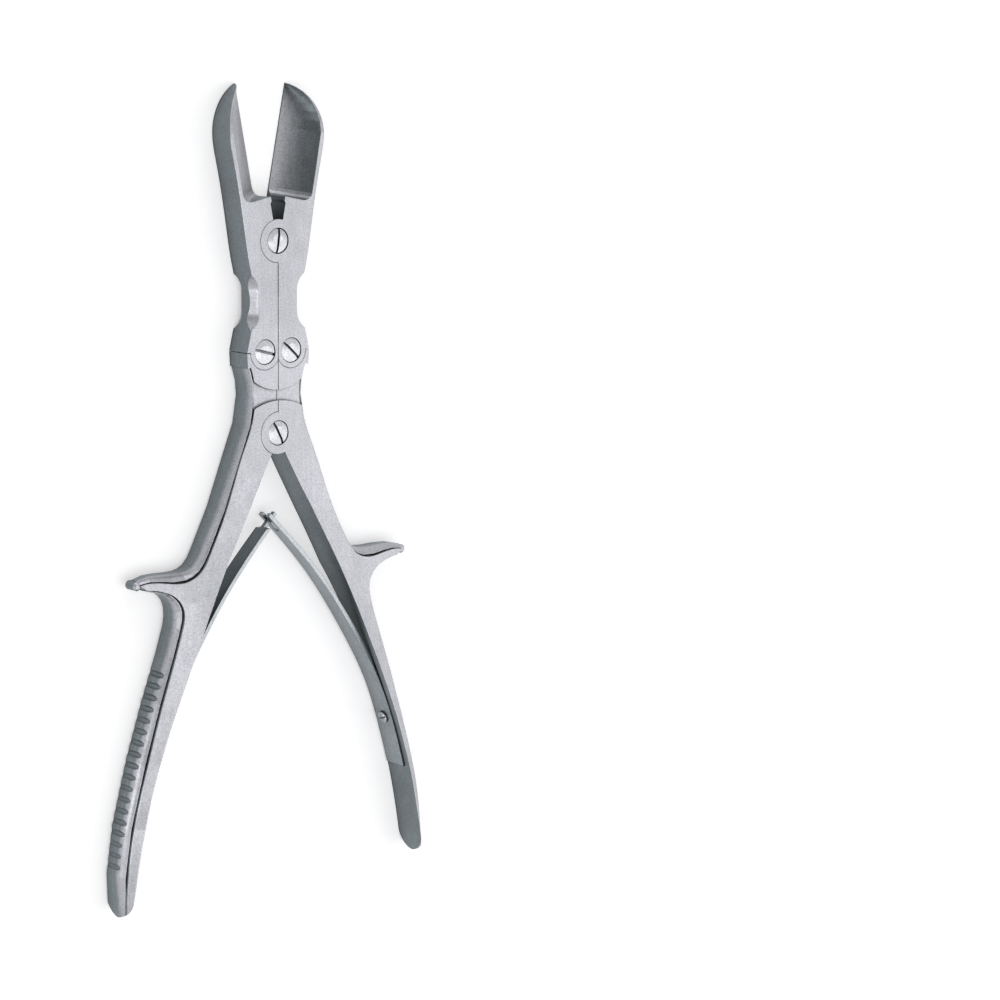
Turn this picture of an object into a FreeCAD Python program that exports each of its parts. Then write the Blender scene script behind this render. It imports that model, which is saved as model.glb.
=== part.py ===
import FreeCAD, Part
import math
import os

# Double-action bone-cutting forceps, lying on its flat back with the jaws open.
# X runs across the instrument, +Y towards the jaw tips, +Z out of the front face.
# The origin is on the axis of the handle pivot, in the plane of the back.
# The right half is drawn, at +X, and the left half is its mirror image.
# All sizes are in millimetres and degrees.

# Joints
joint_thickness = 10.0
pivot_spacing = 63.0
link_half_spacing = 5.3
link_height = 27.0
jaw_half_opening = 11.25
pivot_ear_radius = 7.0
link_ear_radius = 5.8
ear_clearance = 0.15
lap_gap = 0.05
seam_half_gap = 0.12
shoulder_half_gap = 0.12

# Joint screws
screw_shank_radius = 2.6
screw_head_radius = 4.0
screw_head_depth = 1.9
screw_crown_height = 0.45
screw_crown_slope = 1.8
screw_slot_width = 0.85
screw_slot_depth = 1.0
bore_clearance = 0.05
open_pivot_clearance = 0.14
thread_clearance = 0.02
head_clearance = 0.1
slot_angle_jaw_pivot = 83.0
slot_angle_left_link = -15.0
slot_angle_right_link = -42.0
slot_angle_handle_pivot = -62.0

# Jaws
blade_reach = 51.5
blade_width = 12.1
blade_belly_reach = 28.0
blade_edge_gap = 0.05
slot_relief = 0.6
edge_land = 0.4
hollow_start = 14.6
hollow_rim = 1.3
hollow_sag = 0.9
hollow_end_radius = 2.8
hollow_end_steps = 4
hollow_tip_length = 14.0
hollow_tip_steps = 8
hollow_tip_power = 0.57
tail_half_width = 12.55
waist_half_width = 9.35
waist_height = 43.2
scoop_inner = 7.6
scoop_slope = 58.0
scoop_length = 21.0
scoop_end_radius = 7.0

# Handles
boss_half_width = 12.55
neck_half_width = 10.35
neck_height = 13.5
neck_recess_depth = 0.9
neck_upper_arc_centre = 30.2
neck_upper_arc_radius = 15.9
neck_lower_arc_centre = -10.9
neck_lower_arc_radius = 21.7
grip_thickness = 12.4
grip_end = -153.5
grip_nose_length = 7.5
flank_top = 9.4
flank_lip = 0.5
flank_back_bevel = 1.0
flank_root = 0.4
flank_turn = 12.0
face_edge_height = 10.4
face_far_height = 9.9
spur_tip = 56.0
spur_tip_height = -45.2
spur_tip_radius = 1.5
spur_tip_bottom = 2.9
spur_tip_top = 8.0
spur_face_fall = 6.5
notch_count = 18
notch_first = -75.5
notch_pitch = 3.6
notch_radius = 1.25
notch_sides = 8
notch_depth = 0.65

# Leaf springs
leaf_thickness = 1.3
leaf_foot_width = 8.8
leaf_tip_width = 5.5
leaf_swing = 5.25
leaf_clearance = 0.2
leaf_foot_room = 0.5
leaf_crossing = -30.3
leaf_foot_across = 54.1
leaf_foot_height = -121.5
leaf_even_length = 21.5
leaf_open_room = 6.0
fork_slot_width = 2.3
tongue_width = 1.6
fork_depth = 5.0
tongue_depth = 2.6
tip_overrun = 3.4
leaf_screw_across = 48.9
leaf_screw_height = -104.0
leaf_screw_shank_radius = 1.2
leaf_screw_head_radius = 2.1
leaf_screw_head_height = 0.9
leaf_screw_length = 3.0
leaf_screw_slot_width = 0.5
leaf_screw_slot_depth = 0.45
leaf_screw_slot_angle = 35.0
leaf_screw_bevel = 0.4
leaf_hole_clearance = 0.25

middle = joint_thickness / 2
past = 1.0
V = FreeCAD.Vector
up = V(0, 0, 1)
jaw_pivot = V(0, pivot_spacing, 0)
handle_pivot = V(0, 0, 0)
link = V(link_half_spacing, link_height, 0)
leaf_foot = V(leaf_foot_across, leaf_foot_height, 0)


def spline(points):
    """One smooth curve through plan points."""
    curve = Part.BSplineCurve()
    curve.interpolate([V(x, y, 0) for x, y in points])
    return curve.toShape()


def polyline(points):
    """Straight edges through plan points."""
    return [Part.makeLine(V(*a, 0), V(*b, 0)) for a, b in zip(points, points[1:])]


def plate(edges, bottom, top):
    """Solid between two heights over a closed plan outline."""
    face = Part.Face(Part.Wire(Part.__sortEdges__(edges)))
    solid = face.extrude(V(0, 0, top - bottom))
    solid.translate(V(0, 0, bottom))
    return solid


def right_and_left(face, width):
    """Solid of a side view, drawn out across the whole instrument."""
    solid = face.extrude(V(width, 0, 0))
    solid.translate(V(-width / 2, 0, 0))
    return solid


def disc(centre, radius, bottom, top):
    """Upright cylinder between two heights."""
    return Part.makeCylinder(radius, top - bottom, V(centre.x, centre.y, bottom))


def right_of_seam(solid):
    """Trims a solid to its own side of the seam between the two halves."""
    size = 400.0
    side = Part.makeBox(size, size, size, V(seam_half_gap, -size / 2, -size / 2))
    return solid.common(side)


def lapped(body, centre, radius, in_front, trimmed):
    """Ear on one half of the thickness, and room for the mating ear on the other half."""
    front = (middle + lap_gap, joint_thickness)
    back = (0.0, middle - lap_gap)
    if in_front:
        ear = disc(centre, radius, *front)
        room = disc(centre, radius + ear_clearance, -past, front[0])
    else:
        ear = disc(centre, radius, *back)
        room = disc(centre, radius + ear_clearance, back[1], joint_thickness + past)
    if trimmed:
        ear = right_of_seam(ear)
    return body.cut(room).fuse(ear)


def bored(body, centre, in_front, clearance):
    """Bore for a joint screw, with a counterbore for its head in a front ear."""
    if not in_front:
        radius = screw_shank_radius + thread_clearance
        return body.cut(disc(centre, radius, -past, joint_thickness + past))
    bore = disc(centre, screw_shank_radius + clearance, -past, joint_thickness + past)
    floor = joint_thickness - screw_head_depth
    sink = disc(centre, screw_head_radius + head_clearance + clearance, floor,
                joint_thickness + past)
    return body.cut(bore).cut(sink)


def blade_point(along, across):
    """Plan point on the open jaw, along its cutting edge and across it from the pivot."""
    angle = math.radians(jaw_half_opening)
    x = along * math.sin(angle) + across * math.cos(angle)
    y = along * math.cos(angle) - across * math.sin(angle)
    return (x, pivot_spacing + y)


def jaw_outline():
    """Right jaw in plan: tail, slot wall, cutting edge and curved back of the blade."""
    shoulder = link_height + shoulder_half_gap
    inner = [(tail_half_width, shoulder), (seam_half_gap, shoulder),
             (seam_half_gap, pivot_spacing),
             blade_point(slot_relief, slot_relief),
             blade_point(hollow_start - 2.0, slot_relief),
             blade_point(hollow_start - 1.4, blade_edge_gap),
             blade_point(blade_reach, blade_edge_gap)]
    back = [inner[-1],
            blade_point(blade_reach - 5.5, blade_width * 0.66),
            blade_point(blade_reach - 12.6, blade_width * 0.95),
            blade_point(blade_belly_reach, blade_width),
            blade_point(7.6, blade_width + 0.3),
            (waist_half_width + 2.2, waist_height + 12.8),
            (waist_half_width, waist_height),
            (tail_half_width - 1.6, link_height + 6.8),
            inner[0]]
    return polyline(inner) + [spline(back)]


def blade_width_at(along):
    """Width of the blade from its cutting edge to its curved back, at one place along it."""
    back = jaw_outline()[-1]
    start = V(*blade_point(along, 0.0), 0)
    across = Part.makeLine(start, V(*blade_point(along, 2 * blade_width), 0))
    return start.distanceToPoint(back.distToShape(across)[1][0][0])


def hollow_section(along, width, raised=0.0):
    """Upright section of the hollow, from the cutting edge to a rim that sinks as the blade narrows."""
    clear = 6.0
    share = width / blade_width
    height = (joint_thickness + lap_gap) * share ** hollow_tip_power
    low = V(blade_edge_gap, along, edge_land)
    high = V(width - hollow_rim * share, along, height)
    chord = high.sub(low)
    inward = V(chord.z, 0, -chord.x).normalize()
    middle_point = low.add(high).multiply(0.5).add(V(inward).multiply(hollow_sag * share))
    lift = inward.multiply(-raised)
    low, middle_point, high = [point.add(lift) for point in (low, middle_point, high)]
    arc = Part.Arc(low, middle_point, high).toShape()
    above = joint_thickness + clear
    corners = [high, V(width + clear, along, high.z), V(width + clear, along, above),
               V(low.x - clear, along, above), V(low.x - clear, along, low.z), low]
    return Part.Wire([arc] + [Part.makeLine(a, b) for a, b in zip(corners, corners[1:])])


def hollow_grind():
    """Round-bottomed cut that leaves the cutting edge at the back of the blade."""
    sections = []
    for step in range(hollow_end_steps + 1):
        angle = math.pi / 2 * step / hollow_end_steps
        along = hollow_start + hollow_end_radius * (1 - math.cos(angle))
        raised = hollow_end_radius * (1 - math.sin(angle))
        sections.append(hollow_section(along, blade_width, raised))
    for step in range(hollow_tip_steps):
        along = blade_reach - hollow_tip_length * (1 - step / hollow_tip_steps) ** 2
        width = min(blade_width_at(along), blade_width)
        sections.append(hollow_section(along, width))
    sections.append(hollow_section(blade_reach + past, width))
    cutter = Part.makeLoft(sections, True, True)
    cutter.rotate(V(0, 0, 0), up, -jaw_half_opening)
    cutter.translate(jaw_pivot)
    return cutter


def waist_scoop():
    """Sloping round-ended cut on the front of the tail's outer edge."""
    width = 16.0
    box = Part.makeBox(width, scoop_length, 10.0, V(0, -scoop_length / 2, 0))
    ends = [edge for edge in box.Edges
            if abs(edge.BoundBox.ZMax) < 0.01 and edge.BoundBox.YLength < 0.01]
    cutter = box.makeFillet(scoop_end_radius, ends)
    cutter.rotate(V(0, 0, 0), V(0, 1, 0), scoop_slope)
    cutter.translate(V(scoop_inner, waist_height, joint_thickness))
    return cutter


def jaw(ear_in_front):
    """One jaw with its tail."""
    body = plate(jaw_outline(), 0.0, joint_thickness)
    scoop = waist_scoop()
    body = body.cut(scoop)
    body = body.cut(scoop.mirror(V(0, 0, middle), up))
    body = body.cut(hollow_grind())
    body = lapped(body, jaw_pivot, pivot_ear_radius, ear_in_front, False)
    body = lapped(body, link, link_ear_radius, True, True)
    body = bored(body, jaw_pivot, ear_in_front, open_pivot_clearance)
    body = bored(body, link, True, bore_clearance)
    return body.removeSplitter()


def grip_inner_line():
    """Points down the inner face of the handle, from the pivot ear to the grip's end."""
    return [(2.2, -5.6), (12.3, -24.3), (23.0, -44.0), (36.7, -73.0),
            (47.4, -98.0), (54.6, -120.5), (58.9, -140.4), (61.0, grip_end)]


def shank_stations():
    """Wall of the shank and of the spur's upper side, and the rounded flank that stands out of it.

    Each station is a plan point of the wall, how far the flank stands out, and the flank's
    lowest and highest edge.
    """
    tip = spur_tip - spur_tip_radius
    return [(neck_half_width + 0.7, neck_height + 8.8, 1.2, 0.0, flank_top),
            (neck_half_width - 1.0, neck_height - 1.0, 1.0, 0.0, flank_top),
            (10.9, 3.0, 1.0, 0.0, flank_top),
            (14.5, -6.0, 1.0, 0.0, flank_top),
            (21.2, -23.7, 1.3, 0.0, flank_top),
            (27.8, -37.4, 1.6, 0.0, flank_top),
            (31.6, -42.9, 1.9, 0.2, flank_top),
            (36.6, -45.5, 2.7, 0.6, flank_top - 0.3),
            (tip - 8.5, spur_tip_height + 0.3, 2.3, 1.5, spur_tip_top + 0.6),
            (tip - 0.5, spur_tip_height + 0.2, 1.5, spur_tip_bottom, spur_tip_top)]


def grip_stations():
    """Wall of the spur's lower side and of the grip, in the same terms as the shank's."""
    tip = spur_tip - spur_tip_radius
    return [(tip - 3.0, spur_tip_height - 1.5, 0.4, spur_tip_bottom - 0.6, spur_tip_top + 0.2),
            (44.5, -48.2, 0.9, 1.3, flank_top - 0.8),
            (40.4, -50.8, 1.6, 0.5, flank_top - 0.2),
            (38.2, -55.0, 2.0, 0.0, flank_top),
            (39.0, -61.0, 1.6, 0.0, flank_top),
            (41.8, -69.8, 1.6, 0.0, flank_top),
            (47.0, -84.7, 2.0, 0.0, flank_top),
            (52.9, -103.6, 2.4, 0.0, flank_top),
            (58.6, -124.4, 2.3, 0.0, flank_top),
            (61.0, -140.0, 2.2, 0.0, flank_top),
            (61.6, grip_end, 0.8, 0.0, flank_top)]


def wall_line(stations):
    """Smooth plan curve through the stations' wall points."""
    curve = Part.BSplineCurve()
    curve.interpolate([V(x, y, 0) for x, y, *_ in stations])
    return curve


def flank_section(wall, outward, stand_out, low, high):
    """Closed upright section of the flank: bevelled back edge, full side and rounded front."""
    def at(width, height):
        return V(wall.x + outward.x * width, wall.y + outward.y * width, height)
    bevel = min(flank_back_bevel, 0.6 * stand_out)
    waist = low + 0.45 * (high - low)
    half = math.sqrt(0.5)
    crest = at(0.2 * stand_out, high)
    front = Part.Arc(at(stand_out, waist),
                     at(stand_out * (0.2 + 0.8 * half), waist + (high - waist) * half), crest)
    corners = [crest, at(0, high - flank_lip), at(-flank_root, high - flank_lip),
               at(-flank_root, low), at(stand_out - bevel, low), at(stand_out, low + bevel),
               at(stand_out, waist)]
    sides = [Part.makeLine(a, b) for a, b in zip(corners, corners[1:])]
    return Part.Wire([front.toShape()] + sides)


def flank_frames(stations):
    """Wall point, outward direction, stand-out and edges, at closer steps where the wall turns."""
    wall = wall_line(stations)
    places = [wall.parameter(V(x, y, 0)) for x, y, *_ in stations]
    places[0] = wall.FirstParameter
    places[-1] = wall.LastParameter
    sizes = []
    for column in (2, 3, 4):
        curve = Part.BSplineCurve()
        curve.interpolate(Points=[V(u, s[column], 0) for u, s in zip(places, stations)],
                          Parameters=places)
        sizes.append(curve)
    steps = [places[0]]
    for start, end in zip(places, places[1:]):
        turn = math.degrees(wall.tangent(start)[0].getAngle(wall.tangent(end)[0]))
        count = max(1, round(turn / flank_turn))
        steps += [start + (end - start) * step / count for step in range(1, count + 1)]
    frames = []
    for u in steps:
        along = wall.tangent(u)[0]
        stand_out, low, high = [curve.value(u).y for curve in sizes]
        outward = V(-along.y, along.x, 0).normalize()
        frames.append((wall.value(u), outward, stand_out, max(low, 0.0), min(high, flank_top)))
    return frames


def flank(stations):
    """Rounded flank of the handle along one stretch of its wall."""
    sections = [flank_section(*frame) for frame in flank_frames(stations)]
    return Part.makeLoft(sections, True, True)


def face_cutter():
    """Space in front of the handle's face, which rises to the grip and falls off outwards.

    Each station is a height, the face's inner edge, its outer edge, and how high the face
    ends beyond it.
    """
    flat, full, edge, far = joint_thickness, grip_thickness, face_edge_height, face_far_height
    stations = [(40.0, 0.0, flat, 16.0, flat, flat), (-8.0, 0.0, flat, 16.0, flat, flat),
                (-24.0, 12.2, 10.8, 21.0, 10.2, far), (-34.0, 17.6, 11.1, 26.0, 10.3, far),
                (-44.0, 23.0, 11.5, 33.0, edge, spur_face_fall),
                (-52.0, 26.8, 11.9, 38.0, edge, spur_face_fall),
                (-62.0, 31.6, 12.3, 39.4, edge, far), (-80.0, 39.8, full, 45.4, edge, far),
                (-103.0, 49.1, full, 52.8, edge, far), (-124.0, 55.6, full, 58.5, edge, far),
                (-140.0, 58.9, full, 61.0, edge, far), (grip_end - past, 60.9, full, 61.7, edge, far)]
    above = grip_thickness + 6.0
    beyond = 80.0
    sections = []
    for y, inner_x, inner_z, wall_x, wall_z, far_z in stations:
        reach = 20.0 if inner_x == 0.0 else 2.0
        rise = (inner_z - wall_z) / (wall_x - inner_x) * reach
        near = V(inner_x - reach, y, inner_z + rise)
        corners = [near, V(wall_x, y, wall_z), V(beyond, y, far_z), V(beyond, y, above),
                   V(near.x, y, above)]
        sections.append(Part.makePolygon(corners + corners[:1]))
    return Part.makeLoft(sections, True, True)


def side_profile():
    """Side view of the handle: flat back and front, and a rounded end."""
    nose = grip_end + grip_nose_length
    half = grip_thickness / 2
    top = link_height + 10.0
    bend = half * (1 - math.sqrt(0.5))
    reach = grip_nose_length * math.sqrt(0.5)
    lower_nose = Part.Arc(V(0, nose, 0), V(0, nose - reach, bend), V(0, grip_end, half))
    upper_nose = Part.Arc(V(0, grip_end, half), V(0, nose - reach, grip_thickness - bend),
                          V(0, nose, grip_thickness))
    corners = [V(0, nose, grip_thickness), V(0, top, grip_thickness), V(0, top, 0), V(0, nose, 0)]
    sides = [Part.makeLine(a, b) for a, b in zip(corners, corners[1:])]
    wire = Part.Wire([lower_nose.toShape(), upper_nose.toShape()] + sides)
    return right_and_left(Part.Face(wire), 180.0)


def spur_nub():
    """Small upright nub that closes the spur's tip, bevelled in front."""
    bevel = 0.7
    centre = V(spur_tip - spur_tip_radius, spur_tip_height, 0)
    core = disc(centre, spur_tip_radius, spur_tip_bottom, spur_tip_top - bevel)
    front = Part.makeCone(spur_tip_radius, spur_tip_radius - bevel, bevel,
                          V(centre.x, centre.y, spur_tip_top - bevel))
    return core.fuse(front)


def spur_wedge():
    """Space behind the spur, which thins it towards its tip."""
    root_x = 38.0
    beyond = spur_tip + past
    rise = spur_tip_bottom + 0.3
    corners = [V(root_x, 0, -past), V(root_x, 0, 0.0), V(spur_tip, 0, rise), V(beyond, 0, rise),
               V(beyond, 0, -past)]
    face = Part.Face(Part.makePolygon(corners + corners[:1]))
    wedge = face.extrude(V(0, -12.0, 0))
    wedge.translate(V(0, spur_tip_height + 4.0, 0))
    return wedge


def neck_recess():
    """Shallow recess across the front of the neck, between two arcs."""
    width = 2 * boss_half_width
    start, height = 6.0, 16.0
    floor = joint_thickness - neck_recess_depth
    top = joint_thickness + past
    band = Part.makeBox(width, height, top - floor, V(-width / 2, start, floor))
    above = disc(V(0, neck_upper_arc_centre, 0), neck_upper_arc_radius, floor - past, top + past)
    below = disc(V(0, neck_lower_arc_centre, 0), neck_lower_arc_radius, floor - past, top + past)
    return band.cut(above).cut(below)


def leaf_inner_line(foot_room):
    """Points along the open side of the leaf spring, from its foot to its tip."""
    crossing = V(0, leaf_crossing, 0)
    heading = V(-0.72, 0.69, 0).normalize()
    tip = crossing.add(heading.multiply(tip_overrun))
    return [(leaf_foot.x + 0.3 * foot_room, leaf_foot.y - foot_room),
            (48.6, -103.0), (41.3, -85.5), (32.1, -70.4),
            (23.9, -57.9), (15.2, -46.9), (4.9, -35.4), (tip.x, tip.y)]


def leaf_path(foot_room=0.0):
    """Curve of the leaf's open side."""
    curve = Part.BSplineCurve()
    curve.interpolate([V(x, y, 0) for x, y in leaf_inner_line(foot_room)])
    return curve


def leaf_band(near, far, foot_room=0.0):
    """Plan outline edges between two offsets from the leaf's open side, towards the handle."""
    curve = leaf_path(foot_room)
    first, last = curve.FirstParameter, curve.LastParameter
    count = 7
    sides = []
    for offset in (near, far):
        points = []
        for step in range(count + 1):
            u = first + (last - first) * step / count
            along = curve.tangent(u)[0]
            normal = V(along.y, -along.x, 0).normalize()
            points.append(curve.value(u).add(normal.multiply(offset)))
        side = Part.BSplineCurve()
        side.interpolate(points)
        sides.append((side.toShape(), points[0], points[-1]))
    (open_side, a, b), (hidden_side, c, d) = sides
    return [open_side, Part.makeLine(b, d), hidden_side, Part.makeLine(c, a)]


def leaf_hinge():
    """Screw's place on the leaf and the direction out of the leaf's open side."""
    curve = leaf_path()
    u = curve.parameter(V(leaf_screw_across, leaf_screw_height, 0))
    along = curve.tangent(u)[0]
    outward = V(-along.y, along.x, 0).normalize()
    place = curve.value(u).sub(V(outward).multiply(leaf_thickness / 2))
    return V(place.x, place.y, middle), outward


def leaf_channel():
    """Room in the handle's inner face for the leaf, at rest and pressed flat."""
    hinge, outward = leaf_hinge()
    bottom = -past
    top = middle + leaf_foot_width / 2 + leaf_clearance
    edges = leaf_band(-leaf_open_room, leaf_thickness + leaf_clearance, leaf_foot_room)
    band = plate(edges, bottom, top)
    pressed = band.copy()
    pressed.rotate(hinge, up, -leaf_swing)
    return band.fuse(pressed)


def leaf_screw_hole():
    """Blind hole in the handle for the leaf's screw."""
    hinge, outward = leaf_hinge()
    inward = V(outward).multiply(-1)
    depth = leaf_screw_length + leaf_thickness / 2 + 0.2
    return Part.makeCylinder(leaf_screw_shank_radius + thread_clearance, depth, hinge, inward)


def handle_core():
    """Handle within its walls: inner face, link boss, shank, spur and grip, with its front face."""
    shoulder = link_height - shoulder_half_gap
    upper = shank_stations()
    lower = grip_stations()
    inner = grip_inner_line()
    neck = upper[0][:2]
    last = lower[-1][:2]
    boss = [(boss_half_width, shoulder), (boss_half_width - 0.3, link_height - 5.0), neck]
    spur_end = [upper[-1][:2], lower[0][:2]]
    edges = [wall_line(upper).toShape(), wall_line(lower).toShape(), spline(inner)]
    edges += polyline(boss) + polyline(spur_end)
    edges += polyline([inner[-1], last])
    edges += polyline([(boss_half_width, shoulder), (seam_half_gap, shoulder),
                       (seam_half_gap, 0.0), inner[0]])
    body = plate(edges, 0.0, grip_thickness)
    return body.cut(face_cutter()).cut(spur_wedge()).cut(neck_recess())


def grip_notches():
    """Row of ground notches across the outer flank of the grip."""
    edge = [wall.add(V(outward).multiply(stand_out))
            for wall, outward, stand_out, low, high in flank_frames(grip_stations())]
    outline = Part.BSplineCurve()
    outline.interpolate(edge)
    half_side = math.pi / notch_sides
    notches = []
    for index in range(notch_count):
        height = notch_first - notch_pitch * index
        level = Part.makeLine(V(30.0, height, 0), V(80.0, height, 0))
        crossing = outline.toShape().distToShape(level)[1][0][0]
        along = outline.tangent(outline.parameter(crossing))[0]
        outward = V(-along.y, along.x, 0).normalize()
        place = crossing.add(V(outward).multiply(notch_radius * math.cos(half_side) - notch_depth))
        facing = math.atan2(outward.y, outward.x)
        corners = [V(notch_radius * math.cos(facing + half_side * (2 * side + 1)),
                     notch_radius * math.sin(facing + half_side * (2 * side + 1)), -past)
                   for side in range(notch_sides)]
        face = Part.Face(Part.makePolygon(corners + corners[:1]))
        notch = face.extrude(V(0, 0, grip_thickness + 2 * past))
        notch.translate(place)
        notches.append(notch)
    return notches


def handle(ear_in_front):
    """One handle with its link boss, neck, finger spur and grip."""
    body = handle_core()
    body = body.fuse([flank(shank_stations()), flank(grip_stations()), spur_nub()])
    body = body.common(side_profile())
    body = lapped(body, handle_pivot, pivot_ear_radius, ear_in_front, False)
    body = lapped(body, link, link_ear_radius, False, True)
    body = bored(body, handle_pivot, ear_in_front, bore_clearance)
    body = bored(body, link, False, 0.0)
    body = body.cut(leaf_channel())
    body = body.cut(leaf_screw_hole())
    body = body.cut(grip_notches())
    return body.removeSplitter()


def leaf_taper():
    """Side view of the leaf: even width over the foot, narrower towards the tip."""
    foot_y = leaf_foot_height - past
    bend_y = leaf_foot_height + leaf_even_length
    tip_y = leaf_crossing + 2 * fork_depth
    foot = leaf_foot_width / 2
    tip = leaf_tip_width / 2
    lower = [V(0, foot_y, middle - foot), V(0, bend_y, middle - foot), V(0, tip_y, middle - tip)]
    upper = [V(0, point.y, joint_thickness - point.z) for point in reversed(lower)]
    face = Part.Face(Part.makePolygon(lower + upper + lower[:1]))
    return right_and_left(face, 3 * leaf_foot_across)


def leaf_spring(forked):
    """One leaf spring, ending in a fork or in the tongue that passes through it."""
    leaf = plate(leaf_band(0.0, leaf_thickness), middle - leaf_foot_width, middle + leaf_foot_width)
    leaf = leaf.common(leaf_taper())
    reach = 2 * fork_depth + past
    start = leaf_crossing - (fork_depth if forked else tongue_depth) * 0.69
    if forked:
        slot = Part.makeBox(2 * reach, reach, fork_slot_width,
                            V(-reach, start, middle - fork_slot_width / 2))
        leaf = leaf.cut(slot)
    else:
        for side in (middle + tongue_width / 2, middle - tongue_width / 2 - leaf_tip_width):
            leaf = leaf.cut(Part.makeBox(2 * reach, reach, leaf_tip_width, V(-reach, start, side)))
    hinge, outward = leaf_hinge()
    hole = Part.makeCylinder(leaf_screw_shank_radius + leaf_hole_clearance, 6.0,
                             hinge.sub(V(outward).multiply(3.0)), outward)
    return leaf.cut(hole).removeSplitter()


def leaf_screw():
    """Screw that holds the foot of a leaf spring."""
    hinge, outward = leaf_hinge()
    seat = hinge.add(V(outward).multiply(leaf_thickness / 2 + leaf_clearance))
    shank_length = leaf_screw_length + leaf_thickness + leaf_clearance
    inward = V(outward).multiply(-1)
    shank = Part.makeCylinder(leaf_screw_shank_radius, shank_length, seat, inward)
    straight = leaf_screw_head_height - leaf_screw_bevel
    head = Part.makeCylinder(leaf_screw_head_radius, straight, seat, outward)
    bevel = Part.makeCone(leaf_screw_head_radius, leaf_screw_head_radius - leaf_screw_bevel,
                          leaf_screw_bevel, seat.add(V(outward).multiply(straight)), outward)
    screw = shank.fuse([head, bevel])
    slot = Part.makeBox(2 * (leaf_screw_head_radius + past), leaf_screw_slot_width,
                        leaf_screw_slot_depth + past)
    slot.translate(V(-leaf_screw_head_radius - past, -leaf_screw_slot_width / 2, 0))
    slot.rotate(V(0, 0, 0), up, leaf_screw_slot_angle)
    turn = FreeCAD.Rotation(up, outward)
    slot.Placement = FreeCAD.Placement(V(0, 0, 0), turn).multiply(slot.Placement)
    slot.translate(seat.add(V(outward).multiply(leaf_screw_head_height - leaf_screw_slot_depth)))
    return screw.cut(slot)


def joint_screw(centre, slot_angle):
    """Slotted screw with a low crowned head, its end flush with the back."""
    seat = joint_thickness - screw_head_depth
    rim = joint_thickness - screw_crown_height / 2
    top = rim + screw_crown_height
    shank = disc(centre, screw_shank_radius, 0.0, seat)
    head = disc(centre, screw_head_radius, seat, rim)
    crown = Part.makeCone(screw_head_radius, screw_head_radius - screw_crown_slope,
                          screw_crown_height, V(centre.x, centre.y, rim))
    slot = Part.makeBox(2 * screw_head_radius + 2, screw_slot_width, screw_slot_depth + past,
                        V(-screw_head_radius - 1, -screw_slot_width / 2, 0))
    slot.rotate(V(0, 0, 0), up, slot_angle)
    slot.translate(V(centre.x, centre.y, top - screw_slot_depth))
    return shank.fuse([head, crown]).cut(slot).removeSplitter()


def mirrored(shape):
    """Left-hand copy of a right-hand piece."""
    return shape.mirror(V(0, 0, 0), V(1, 0, 0))


pieces = {
    "left_jaw": mirrored(jaw(False)),
    "right_jaw": jaw(True),
    "left_handle": mirrored(handle(False)),
    "right_handle": handle(True),
    "jaw_pivot_screw": joint_screw(jaw_pivot, slot_angle_jaw_pivot),
    "left_link_screw": joint_screw(V(-link.x, link.y, 0), slot_angle_left_link),
    "right_link_screw": joint_screw(link, slot_angle_right_link),
    "handle_pivot_screw": joint_screw(handle_pivot, slot_angle_handle_pivot),
    "left_leaf_spring": mirrored(leaf_spring(False)),
    "right_leaf_spring": leaf_spring(True),
    "left_spring_screw": mirrored(leaf_screw()),
    "right_spring_screw": leaf_screw(),
}

os.makedirs("parts", exist_ok=True)
for name, shape in pieces.items():
    solid = shape.Solids[0] if len(shape.Solids) == 1 else shape
    solid.exportStep("parts/" + name + ".step")
    box = solid.BoundBox
    print(name, "solids", len(shape.Solids), "valid", shape.isValid(),
          "volume", round(shape.Volume, 1), "box",
          [round(value, 2) for value in (box.XMin, box.YMin, box.ZMin, box.XMax, box.YMax, box.ZMax)])
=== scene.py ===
import bpy
import math
from mathutils import Matrix, Vector


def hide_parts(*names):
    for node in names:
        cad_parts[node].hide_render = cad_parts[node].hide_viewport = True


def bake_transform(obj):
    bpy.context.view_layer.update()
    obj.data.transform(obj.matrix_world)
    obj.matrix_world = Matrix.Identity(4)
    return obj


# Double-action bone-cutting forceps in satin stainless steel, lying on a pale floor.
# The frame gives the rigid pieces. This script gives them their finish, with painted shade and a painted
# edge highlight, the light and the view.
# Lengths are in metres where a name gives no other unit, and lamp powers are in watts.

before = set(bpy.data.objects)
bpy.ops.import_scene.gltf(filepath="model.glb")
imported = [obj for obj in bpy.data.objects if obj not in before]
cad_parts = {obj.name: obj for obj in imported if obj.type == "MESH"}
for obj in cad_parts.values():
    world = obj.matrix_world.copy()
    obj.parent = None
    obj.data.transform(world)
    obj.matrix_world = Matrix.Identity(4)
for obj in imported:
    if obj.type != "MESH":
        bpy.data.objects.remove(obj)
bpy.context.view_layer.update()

# View
view_azimuth = math.radians(-41.386)
view_elevation = math.radians(9.491)
view_roll = math.radians(0.625)
view_distance = 1.02648
view_aim = Vector((0.097204, -0.032266, 0.010))
sensor_width_mm = 36.0
image_width_px = 1000.0
focal_length_px = 2918.0

# Light: the sky, and square lamps with their name, place, size and power
white = (1.0, 1.0, 1.0, 1.0)
sky_light = 0.42
soft_lamps = (
    ("key", Vector((0.85, -0.33, 0.95)), 1.1, 2.8),
    ("top", Vector((-0.12, -0.4, 1.2)), 0.9, 2.95),
    ("fill", Vector((0.15, 1.1, 0.6)), 0.6, 1.4),
    ("side", Vector((-0.58, -0.055, 0.165)), 0.2, 0.27),
    ("crest", Vector((-0.65, -0.36, 0.9)), 0.45, 0.9),
    ("low", Vector((0.9, -0.35, 0.2)), 0.4, 0.45),
)

# Black card beside the jaws
flag_place = Vector((-0.5, 0.16, 0.42))
flag_height = 0.64
flag_width = 0.2
flag_colour = (0.03, 0.03, 0.032, 1.0)

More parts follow.
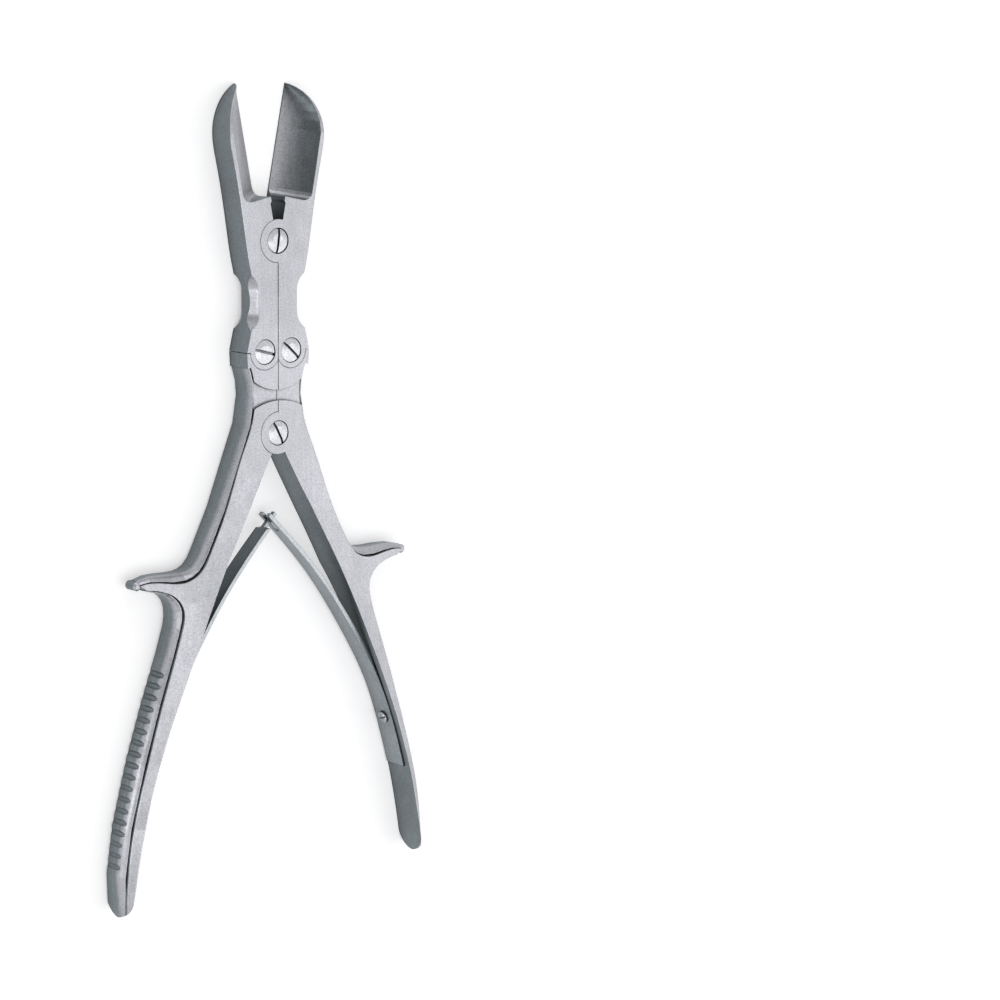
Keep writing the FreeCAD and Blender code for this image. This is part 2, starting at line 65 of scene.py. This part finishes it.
# Floor, whose own light grows outwards, where the lamps fall off
floor_colour = (0.86, 0.86, 0.87, 1.0)
floor_half_width = 6.0
floor_specular = 0.1
floor_near = 0.3
floor_far = 1.6
floor_near_lift = 0.4
floor_far_lift = 0.68
matt_roughness = 0.9

# Steels: colour of the ground faces, colour of the matt sides, darker as painted shade, roughness of the
# faces, stretch of the grain, and radius of the edges
grain_stretch = (1.0, 0.1, 1.0)
even_stretch = (1.0, 1.0, 1.0)
satin = {"face": (0.37, 0.375, 0.40), "side": (0.182, 0.208, 0.221),
         "roughness": 0.33, "stretch": grain_stretch, "rounding": 0.0004}
screw = {"face": (0.48, 0.485, 0.51), "side": (0.30, 0.32, 0.34),
         "roughness": 0.28, "stretch": even_stretch, "rounding": 0.0003}
spring = {"face": (0.36, 0.38, 0.40), "side": (0.262, 0.29, 0.307),
          "roughness": 0.30, "stretch": grain_stretch, "rounding": 0.0002}
# Painted shade: darker colours for the side that turns away along X, on the right blade's hollow and on
# the springs.
hollow_turned_away_shade = (0.115, 0.13, 0.138)
spring_turned_away_shade = (0.09, 0.105, 0.115)

# Share of a normal along Z from side colour to face colour, which paints shade on the sides, and along X
# to the colour of painted shade on a side turned away
face_levels = (0.04, 0.42)
turned_away_shade_levels = (0.35, 0.85)

# Noises of the steel: stretch, turn in degrees, scale per metre, and detail
grain_turn = 0.0
grain_scale = 1100.0
grain_detail = 3.0
speckle_noise = (even_stretch, 0.0, 1900.0, 2.0)
cloud_noise = (even_stretch, 0.0, 55.0, 4.0)
smudge_noise = ((1.0, 0.5, 1.0), 35.0, 160.0, 3.0)
scratch_noise = ((1.0, 0.012, 1.0), 24.0, 700.0, 1.0)
noise_roughness = 0.6

# Levels between which a noise is spread out, and the tones that it then gives the colour
noise_levels = (0.3, 0.7)
scratch_levels = (0.66, 0.74)
grain_tones = (0.96, 1.04)
speckle_tones = (0.85, 1.15)
cloud_tones = (0.92, 1.06)

# Changes of the roughness
smudge_duller = 0.05
smudge_glossier = 0.04
scratch_glossier = 0.08
side_duller = 0.12

# Relief of the marks: strength and depth
grain_relief = (0.22, 0.00002)
speckle_relief = (0.25, 0.00003)
scratch_relief = (0.3, 0.00001)

# Worn edges with a painted highlight: how far the rounding turns the surface, how patchy and how bright
# the worn places and the highlight are
edge_levels = (0.86, 0.995)
wear_and_highlight_levels = (0.35, 0.65)
least_wear_and_highlight = 0.2
worn_edge_and_highlight = 1.5

# Painted shade in closed-in places: reach, darkest shade, and the open share from which nothing is
# darker
closed_share = 0.25
narrow_recess = (0.0018, 0.2, 0.85)
wide_recess = (0.006, 0.55, 0.96)
traced_samples = 6


def node(tree, kind, **values):
    """New shader node with its properties or input values set."""
    made = tree.nodes.new(kind)
    for name, value in values.items():
        if hasattr(made, name):
            setattr(made, name, value)
        else:
            made.inputs[name].default_value = value
    return made


def ramp(tree, source, levels, values):
    """Value that goes smoothly between two values as the source goes between two levels."""
    made = node(tree, "ShaderNodeMapRange", interpolation_type="SMOOTHSTEP")
    for socket, value in zip(("From Min", "From Max", "To Min", "To Max"), levels + values):
        made.inputs[socket].default_value = value
    tree.links.new(source, made.inputs["Value"])
    return made.outputs["Result"]


def combined(tree, operation, first, second):
    """Two values combined. The second can be a number."""
    made = node(tree, "ShaderNodeMath", operation=operation)
    tree.links.new(first, made.inputs[0])
    if isinstance(second, float):
        made.inputs[1].default_value = second
    else:
        tree.links.new(second, made.inputs[1])
    return made.outputs[0]


def blend(tree, share, first, second):
    """Colour between two colours. Each is a tuple or another node's output."""
    made = node(tree, "ShaderNodeMix", data_type="RGBA")
    sockets = {socket.identifier: socket for socket in (*made.inputs, *made.outputs)}
    tree.links.new(share, sockets["Factor_Float"])
    for socket, colour in ((sockets["A_Color"], first), (sockets["B_Color"], second)):
        if isinstance(colour, tuple):
            socket.default_value = colour + (1.0,)
        else:
            tree.links.new(colour, socket)
    return sockets["Result_Color"]


def scaled(tree, colour, factor):
    """Colour made brighter or darker by a factor."""
    made = node(tree, "ShaderNodeVectorMath", operation="SCALE")
    tree.links.new(colour, made.inputs[0])
    tree.links.new(factor, made.inputs["Scale"])
    return made.outputs[0]


def noise(tree, place, stretch, turn, scale, detail):
    """Noise over the object's own coordinates, stretched and turned about the upright axis."""
    mapping = node(tree, "ShaderNodeMapping", Scale=stretch, Rotation=(0.0, 0.0, math.radians(turn)))
    tree.links.new(place, mapping.inputs["Vector"])
    made = node(tree, "ShaderNodeTexNoise", Scale=scale, Detail=detail, Roughness=noise_roughness)
    tree.links.new(mapping.outputs["Vector"], made.inputs["Vector"])
    return made.outputs["Fac"]


def enclosed(tree, reach, shade, open_share):
    """Painted shade where the surface is closed in within the reach, and one where it is open."""
    made = node(tree, "ShaderNodeAmbientOcclusion", samples=traced_samples, Distance=reach)
    return ramp(tree, made.outputs["AO"], (closed_share, open_share), (shade, 1.0))


def wear_and_highlight_share(tree, rounded, smudges):
    """How worn a place is and how much painted highlight it takes: most where the rounding turns the
    surface, and in patches.
    """
    surface = node(tree, "ShaderNodeNewGeometry")
    turn = node(tree, "ShaderNodeVectorMath", operation="DOT_PRODUCT")
    tree.links.new(rounded, turn.inputs[0])
    tree.links.new(surface.outputs["Normal"], turn.inputs[1])
    edge = ramp(tree, turn.outputs["Value"], edge_levels, (1.0, 0.0))
    return combined(tree, "MULTIPLY", edge, ramp(tree, smudges, wear_and_highlight_levels, (least_wear_and_highlight, 1.0)))


def relief(tree, height, below, strength, depth, invert=False):
    """Normal of a surface with marks, from the normal that it has without them."""
    made = node(tree, "ShaderNodeBump", Strength=strength, Distance=depth, invert=invert)
    tree.links.new(height, made.inputs["Height"])
    tree.links.new(below, made.inputs["Normal"])
    return made.outputs["Normal"]


def steel(name, face, side, roughness, stretch, rounding, turned_away_shade=None, turned_away_sign=0.0):
    """Used stainless steel: ground faces, matt sides in painted shade, worn edges with a painted
    highlight, and painted shade in recesses.

    A side that turns away along X takes its own darker colour, which is painted shade.
    """
    material = bpy.data.materials.new(name)
    material.use_nodes = True
    tree = material.node_tree
    tree.nodes.clear()
    place = node(tree, "ShaderNodeTexCoord")
    own = place.outputs["Object"]
    turned = node(tree, "ShaderNodeSeparateXYZ")
    tree.links.new(place.outputs["Normal"], turned.inputs[0])
    level = node(tree, "ShaderNodeMath", operation="ABSOLUTE")
    tree.links.new(turned.outputs["Z"], level.inputs[0])
    faceward = ramp(tree, level.outputs[0], face_levels, (0.0, 1.0))

    grain = noise(tree, own, stretch, grain_turn, grain_scale, grain_detail)
    speckle = noise(tree, own, *speckle_noise)
    clouds = noise(tree, own, *cloud_noise)
    smudges = noise(tree, own, *smudge_noise)
    scratches = ramp(tree, noise(tree, own, *scratch_noise), scratch_levels, (0.0, 1.0))
    rounded = node(tree, "ShaderNodeBevel", samples=traced_samples, Radius=rounding).outputs["Normal"]
    wear_and_highlight = wear_and_highlight_share(tree, rounded, smudges)

    # Sides take a darker colour than faces, and a side turned away along X a darker one still: painted
    # shade.
    colour = blend(tree, faceward, side, face)
    if turned_away_shade:
        away = combined(tree, "MULTIPLY", turned.outputs["X"], turned_away_sign)
        colour = blend(tree, ramp(tree, away, turned_away_shade_levels, (0.0, 1.0)), colour, turned_away_shade)
    for marks, tones in ((grain, grain_tones), (speckle, speckle_tones), (clouds, cloud_tones)):
        colour = scaled(tree, colour, ramp(tree, marks, noise_levels, tones))
    # Worn edges made brighter in patches: partly wear, partly a painted highlight.
    colour = scaled(tree, colour, ramp(tree, wear_and_highlight, (0.0, 1.0), (1.0, worn_edge_and_highlight)))
    # Painted shade in creases and recesses, and close to other surfaces.
    colour = scaled(tree, colour, enclosed(tree, *narrow_recess))
    colour = scaled(tree, colour, enclosed(tree, *wide_recess))

    smudged = ramp(tree, smudges, noise_levels, (roughness + smudge_duller, roughness - smudge_glossier))
    polished = ramp(tree, scratches, (0.0, 1.0), (0.0, scratch_glossier))
    matt = ramp(tree, faceward, (0.0, 1.0), (side_duller, 0.0))
    dull = combined(tree, "ADD", combined(tree, "SUBTRACT", smudged, polished), matt)

    normal = relief(tree, grain, rounded, *grain_relief)
    normal = relief(tree, speckle, normal, *speckle_relief)
    normal = relief(tree, scratches, normal, *scratch_relief, invert=True)

    shader = node(tree, "ShaderNodeBsdfPrincipled", Metallic=1.0)
    tree.links.new(colour, shader.inputs["Base Color"])
    tree.links.new(dull, shader.inputs["Roughness"])
    tree.links.new(normal, shader.inputs["Normal"])
    out = node(tree, "ShaderNodeOutputMaterial")
    tree.links.new(shader.outputs["BSDF"], out.inputs["Surface"])
    return material


def dress(piece, material):
    """Gives a piece a material all over."""
    for slot in piece.material_slots:
        slot.material = material


def bending_leaf(side, material):
    """Copy of a leaf spring as a piece of its own in the given material, with the original hidden."""
    name = side + "_leaf_spring"
    piece = bpy.data.objects.new(name + "_bending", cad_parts[name].data.copy())
    bpy.context.scene.collection.objects.link(piece)
    dress(piece, material)
    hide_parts(name)
    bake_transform(piece)


def seen_directly(tree):
    """One for rays that show the background: from the camera, off gloss or through glass."""
    path = node(tree, "ShaderNodeLightPath")
    shown = combined(tree, "MAXIMUM", path.outputs["Is Camera Ray"], path.outputs["Is Glossy Ray"])
    return combined(tree, "MAXIMUM", shown, path.outputs["Is Transmission Ray"])


def pale_floor():
    """White floor that keeps the object's soft shadow."""
    bpy.ops.mesh.primitive_plane_add(size=2 * floor_half_width)
    floor = bpy.context.object
    floor.name = "floor"
    material = bpy.data.materials.new("floor_paper")
    material.use_nodes = True
    tree = material.node_tree
    shader = tree.nodes["Principled BSDF"]
    shader.inputs["Base Color"].default_value = floor_colour
    shader.inputs["Roughness"].default_value = matt_roughness
    shader.inputs["Specular IOR Level"].default_value = floor_specular
    shader.inputs["Emission Color"].default_value = white
    place = node(tree, "ShaderNodeTexCoord")
    away = node(tree, "ShaderNodeVectorMath", operation="LENGTH")
    tree.links.new(place.outputs["Object"], away.inputs[0])
    lift = ramp(tree, away.outputs["Value"], (floor_near, floor_far), (floor_near_lift, floor_far_lift))
    glow = combined(tree, "MULTIPLY", seen_directly(tree), lift)
    tree.links.new(glow, shader.inputs["Emission Strength"])
    floor.data.materials.append(material)


def studio_sky():
    """Even soft light, with a white background."""
    world = bpy.data.worlds.new("studio")
    bpy.context.scene.world = world
    world.use_nodes = True
    tree = world.node_tree
    shader = tree.nodes["Background"]
    shader.inputs["Color"].default_value = white
    level = node(tree, "ShaderNodeMapRange")
    level.inputs["To Min"].default_value = sky_light
    level.inputs["To Max"].default_value = 1.0
    tree.links.new(seen_directly(tree), level.inputs["Value"])
    tree.links.new(level.outputs["Result"], shader.inputs["Strength"])


def softbox(name, place, size, power):
    """Square area lamp that faces the instrument."""
    lamp = bpy.data.lights.new(name, "AREA")
    lamp.size = size
    lamp.energy = power
    made = bpy.data.objects.new(name, lamp)
    bpy.context.scene.collection.objects.link(made)
    made.location = place
    made.rotation_mode = "QUATERNION"
    made.rotation_quaternion = (-place).to_track_quat("-Z", "Y")


def dark_flag():
    """Black card beside the jaws, which darkens the deep side of the hollow blade."""
    bpy.ops.mesh.primitive_plane_add(size=1.0)
    card = bpy.context.object
    card.name = "dark_flag"
    card.scale = (flag_height, flag_width, 1.0)
    card.rotation_euler = (0.0, math.radians(90.0), 0.0)
    card.location = flag_place
    material = bpy.data.materials.new("black_card")
    material.use_nodes = True
    shader = material.node_tree.nodes["Principled BSDF"]
    shader.inputs["Base Color"].default_value = flag_colour
    shader.inputs["Roughness"].default_value = matt_roughness
    card.data.materials.append(material)
    card.visible_camera = False
    card.visible_shadow = False
    card.visible_diffuse = False


def photo_camera():
    """Camera at the photograph's viewing angle."""
    across = math.cos(view_elevation)
    back = Vector((math.sin(view_azimuth) * across, math.sin(view_elevation),
                   math.cos(view_azimuth) * across))
    level_right = Vector((0, 1, 0)).cross(back).normalized()
    level_up = back.cross(level_right)
    right = math.cos(view_roll) * level_right + math.sin(view_roll) * level_up
    upward = math.cos(view_roll) * level_up - math.sin(view_roll) * level_right
    data = bpy.data.cameras.new("camera")
    data.sensor_width = sensor_width_mm
    data.lens = focal_length_px / image_width_px * sensor_width_mm
    camera = bpy.data.objects.new("camera", data)
    bpy.context.scene.collection.objects.link(camera)
    turn = Matrix((right, upward, back)).transposed().to_4x4()
    camera.matrix_world = Matrix.Translation(view_aim + back * view_distance) @ turn
    bpy.context.scene.camera = camera


satin_steel = steel("satin_steel_with_painted_shade_and_highlight", **satin)
for name in ("left_jaw", "left_handle", "right_handle"):
    dress(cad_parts[name], satin_steel)
hollow_steel = steel("hollow_ground_with_painted_shade_and_highlight", **satin, turned_away_shade=hollow_turned_away_shade, turned_away_sign=-1.0)
dress(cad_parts["right_jaw"], hollow_steel)
screw_steel = steel("screw_steel_with_painted_shade_and_highlight", **screw)
for name in ("jaw_pivot_screw", "left_link_screw", "right_link_screw", "handle_pivot_screw",
             "left_spring_screw", "right_spring_screw"):
    dress(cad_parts[name], screw_steel)
for side, inward in (("left", 1.0), ("right", -1.0)):
    spring_steel = steel(side + "_spring_with_painted_shade_and_highlight", **spring, turned_away_shade=spring_turned_away_shade, turned_away_sign=-inward)
    bending_leaf(side, spring_steel)

pale_floor()
studio_sky()
for name, place, size, power in soft_lamps:
    softbox(name, place, size, power)
dark_flag()
photo_camera()
bpy.context.scene.view_settings.view_transform = "Standard"
